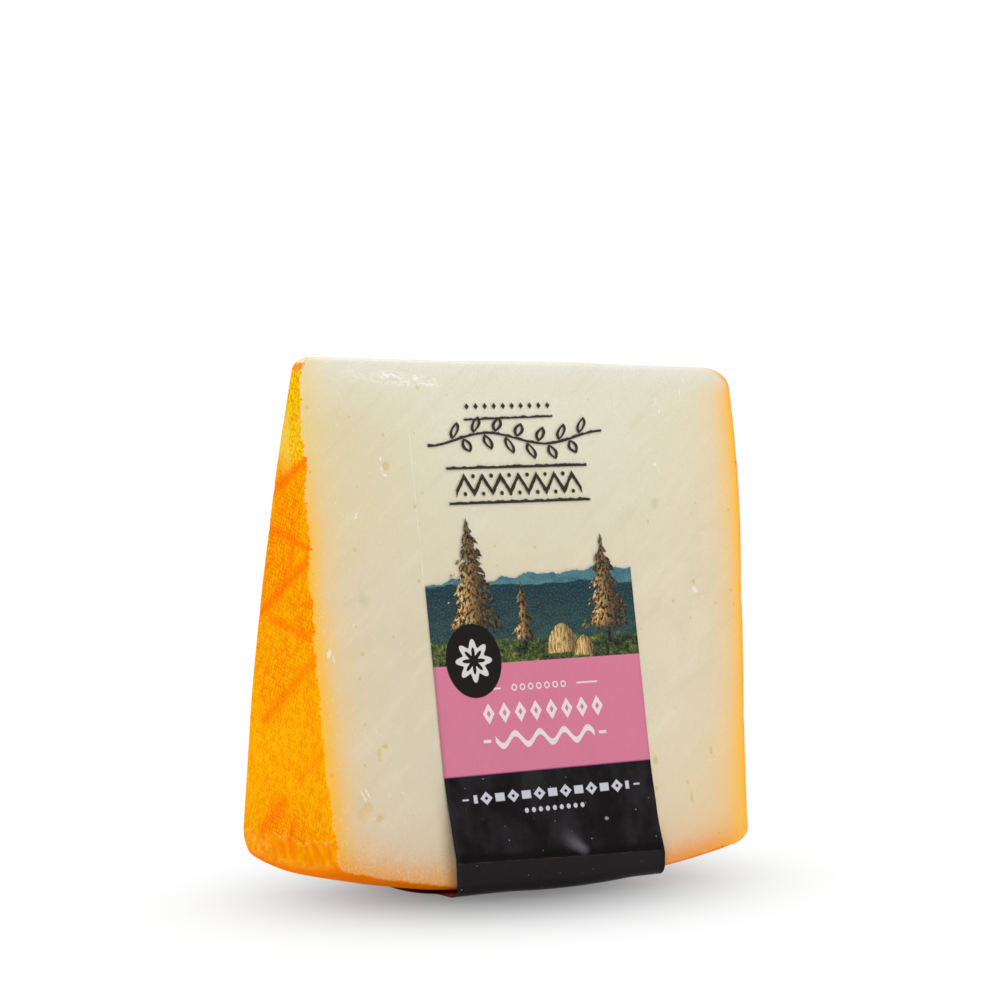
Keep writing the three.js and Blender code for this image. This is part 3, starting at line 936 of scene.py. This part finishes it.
for middle, foot, half, height in STACKS:
    up = ((foot - l) / height).most(0)
    stack = (1 - up**2.2 + 0.3 * (straw - 0.5) - abs((a - middle) / half) ** 1.6).rising(0, 0.1)
    stack = stack * (l + 1.2 * (bushes - 0.5)).falling(foot - 0.2, foot)
    hay = press.mix(straw.rising(0.36, 0.6), ink(136, 98, 52), ink(228, 194, 128))
    hay = press.mix((a - middle).rising(-0.3 * half, 0.8 * half) * 0.75, hay, ink(48, 34, 22))
    picture = press.mix(stack, picture, hay)
grain = press.noise(paper, 0.34, detail=1)
picture = press.mix(grain.rising(0.5, 0.75) * 0.22, picture, ink(120, 146, 142))
picture = press.mix(grain.falling(0.25, 0.5) * 0.3, picture, ink(10, 18, 22))

# The drawn lines over the picture, in dark brown: a row of diamonds, a sprig, and a zigzag between
# two rough rules.
DRAWING_INK = ink(56, 45, 36)
thick = 1 + wobble * 1.4
diamonds = abs((a + 2.5).repeated(2.2)) + abs(l - 3.0) * 0.85
drawn = diamonds.falling(0.5, 0.68) * within(a, -1.4, 11.0, soft=0.02)
rule = abs(l - 5.4 + 0.02 * a + wobble * 0.5) - 0.26 * thick
drawn = drawn.most(rule.falling(-0.07, 0.07) * within(a, -1.4, 11.0, soft=0.3))
stem = 9.6 + 1.2 * (a / 4.6).math("SINE")
drawn = drawn.most((abs(l - stem + 0.4 * wobble) - 0.3 * thick).falling(-0.07, 0.07) * within(a, 0, 21.5))
for side, shift, half in ((-1, 0.0, 18.2), (1, 2.6, 15.6)):
    out = (l - stem) * side
    lean = (a + shift).repeated(5.2) - 0.45 * out
    leaf = abs(lean) / 1.2 + ((out - 1.85) / 1.6) ** 2 + 0.3 * wobble
    outline = leaf.falling(0.96, 1.06) * leaf.rising(0.28, 0.42)
    drawn = drawn.most(outline * within(a, 0, half) * out.rising(0.1, 0.3))
for middle in (15.4, 22.5):
    rule = abs(l - middle + wobble * 0.6) - 0.33 * thick
    drawn = drawn.most(rule.falling(-0.08, 0.08) * within(a, -0.4, 17.3, soft=0.3))
zigzag = 18.9 + 1.7 * (abs((a + 0.4).repeated(4.4)) * (4 / 4.4) - 1) + 0.4 * wobble
drawn = drawn.most((abs(l - zigzag) - 0.72 * thick).falling(-0.1, 0.1) * within(a, -0.4, 15.4))
for shift, middle in ((0.4, 20.7), (2.6, 17.1)):
    dot = ((a + shift).repeated(4.4) ** 2 + (l - middle) ** 2) ** 0.5 + 0.3 * wobble
    drawn = drawn.most(dot.falling(0.38, 0.52) * within(a, -0.4, 14))
drawn = drawn * l.falling(25, 26)
colour = press.mix(drawn, picture, DRAWING_INK)
cover = cover.most(drawn)

# Below the picture: a pink field with pale ornaments, and a black one down to the fold and on.
PINK_END = 76.6
FOLD_AT = 94.0
# On the black, painted light: lighter patches as painted sheen, a painted dark band just above the fold
# as painted shade, lighter below it as painted reflection where it faces down, and a warm painted
# reflection of the rind along the fold. The same noise gives the pink its tone.
sheen_and_tone = press.noise(press.stretched(paper, (1, 0.7, 1)), 8, detail=4, roughness=0.6)
black = press.mix(sheen_and_tone.rising(0.38, 0.68) * 0.8, ink(13, 9, 10), ink(40, 37, 40))
fold_line = l - FOLD_AT - 0.035 * a + 0.5 * wobble
black = press.mix(fold_line.rising(-2.4, -0.4), black, ink(2, 1, 1))
black = press.mix(fold_line.rising(-0.1, 0.2), black, ink(30, 27, 28))
black = press.mix(within(fold_line, 0.15, 0.06) * clumps.rising(0.4, 0.6) * 0.6, black, ink(96, 66, 56))
pink = press.mix(sheen_and_tone, ink(208, 118, 146), ink(218, 128, 154))
field = press.mix((l + wobble * 0.1).rising(PINK_END - 0.1, PINK_END + 0.1), pink, black)
border = within(l, PINK_END - 0.05, 0.14) * 0.5
field = press.mix(border, field, ink(92, 50, 92))
pale = within(l, 59.8, 0.16) * within(abs(a + 0.6), 11.9, 2.6)
dots = ((a + 0.6).repeated(2.0) ** 2 + (l - 59.8) ** 2) ** 0.5
pale = pale.most(dots.falling(0.62, 0.75) * dots.rising(0.35, 0.48) * within(a, -0.6, 7.2))
lozenge = abs((a + 1.9).repeated(3.8)) / 1.45 + abs(l - 64.7) / 2.15
pale = pale.most(lozenge.falling(0.93, 1.0) * lozenge.rising(0.3, 0.38) * within(a, 0, 15.2))
wave = l - 70.1 - 1.15 * (a / 0.95).math("SINE")
pale = pale.most(within(wave, 0, 0.62) * within(a, -0.1, 12.1))
pale = pale.most(within(l, 70.1, 0.3) * within(abs(a + 0.1), 14.1, 0.9))
pale = pale.most(within(abs(a.repeated(6.4)), 0, 1.1) * within(l, 81.2, 0.8) * within(a, 0, 19))
lozenge = abs((a + 3.2).repeated(6.4)) / 1.5 + abs(l - 81.2) / 1.35
pale = pale.most(lozenge.falling(0.93, 1.0) * lozenge.rising(0.25, 0.35) * within(a, 0, 19))
pale = pale.most(within(l, 81.2, 0.17) * within(abs(a), 20.9, 0.75))
small = (a.repeated(1.7) ** 2 + (l - 84.3) ** 2) ** 0.5
pale = pale.most(small.falling(0.42, 0.56) * within(a, 0, 7.65))
for middle, half in ((151, 13), (157, 17), (163, 15), (169, 9)):
    pale = pale.most(within(l, middle, 0.8) * within(a, 0, half) * 0.9)
field = press.mix(pale * 0.93, field, press.mix(l.rising(76, 77), ink(232, 222, 224), ink(206, 206, 216)))
below = l.rising(PICTURE_END - 0.1, PICTURE_END + 0.1)
colour = press.mix(below, colour, field)
cover = cover.most(below)

# The badge: a dark oval with a pale rosette.
BADGE = (-15.6, 54.0, 6.6, 7.4)
badge = oval(*BADGE).falling(0.985, 1.015)
turn = (l - BADGE[1]).math("ARCTAN2", a - BADGE[0])
petal = oval(BADGE[0], BADGE[1], 3.6, 3.6) - 0.22 * (turn * 8).math("COSINE")
rosette = petal.falling(0.95, 1.02) * petal.rising(0.5, 0.57)
badge_colour = press.mix(rosette, ink(27, 22, 21), ink(214, 210, 208))
colour = press.mix(badge, colour, badge_colour)
cover = cover.most(badge)

# Grain, scuffs and crumbs on the plastic, and a painted highlight over the fold, shaped like the shine
# of a dent.
DENT_HIGHLIGHT = (0.2, 89.3, 7.6)  # start across and along, length
CRUMB = (12.3, 87.5)
scuff = press.noise(press.stretched(paper, (1.4, 0.8, 1)), 2.5, detail=5, roughness=0.7)
colour = press.mix(scuff.rising(0.62, 0.8) * 0.1, colour, ink(150, 148, 150))
colour = press.mix(grain.falling(0.25, 0.5) * 0.08, colour, ink(10, 10, 12))
down_highlight = ((a - DENT_HIGHLIGHT[0]) * 0.83 + (l - DENT_HIGHLIGHT[1]) * 0.56) / DENT_HIGHLIGHT[2]
off_highlight = (l - DENT_HIGHLIGHT[1]) * 0.83 - (a - DENT_HIGHLIGHT[0]) * 0.56
dent_highlight = down_highlight.rising(-0.1, 0.8) * down_highlight.falling(0.8, 1.1)
dent_highlight = dent_highlight * (abs(off_highlight + 1.5 * (scuff - 0.5)) / (2.8 - 1.4 * down_highlight)).falling(0, 1)
colour = press.mix(dent_highlight * (0.22 + 0.46 * grain), colour, ink(128, 128, 134))
motes = press.node("TexVoronoi", {"voronoi_dimensions": "2D"}, {0: paper, 2: 1 / 4.0})
lot = press.node("SeparateXYZ", {}, {0: motes.other("Color")})
mote = (motes - 0.035 * lot**4).falling(0, 0.01)
crumb = ((a - CRUMB[0]) / 0.42) ** 2 + ((l - CRUMB[1]) / 0.36) ** 2 + 4 * wobble
crumb = crumb.falling(0.5, 1.0)
colour = press.mix(mote.most(crumb) * 0.6 * l.rising(76, 77), colour, ink(176, 172, 166))
colour = press.mix(cover, ink(255, 253, 246), colour)
gloss = press.noise(paper, 14, detail=2)
press.surface(
    {
        "Base Color": colour,
        "Roughness": 0.3 + 0.12 * gloss,
        "Alpha": cover.most(0.012),
        "Specular IOR Level": 0.1,
    }
)

# The film's inner face: clear where the label is, black below, and under the rim a painted brown
# that stands for the rind's orange light reflected onto it.
inner_material = bpy.data.materials.new("printed_film_inside")
band.data.materials.append(inner_material)
inside = np.zeros(len(band.data.polygons), dtype=int)
inside[: na * nl] = 1
band.data.polygons.foreach_set("material_index", inside)
lining = Finish(inner_material)
l = lining.node("SeparateXYZ", {}, {0: lining.node("UVMap", {"uv_map": "print"})}).other("Y") * 250
murk = lining.noise(lining.node("TexCoord").other("Object"), 0.003, detail=3)
brown = lining.mix(murk, ink(205, 110, 50), ink(235, 140, 70))
BROWN_FROM = 102  # along
dark = lining.mix(l.rising(BROWN_FROM, BROWN_FROM + 2), ink(20, 17, 17), brown)
sockets = {"Base Color": dark, "Roughness": 0.4 + 0.1 * murk}
sockets |= {"Alpha": l.rising(PICTURE_END, PICTURE_END + 0.2), "Specular IOR Level": 0.1}
lining.surface(sockets)
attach(band, "root")
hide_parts("label_band")
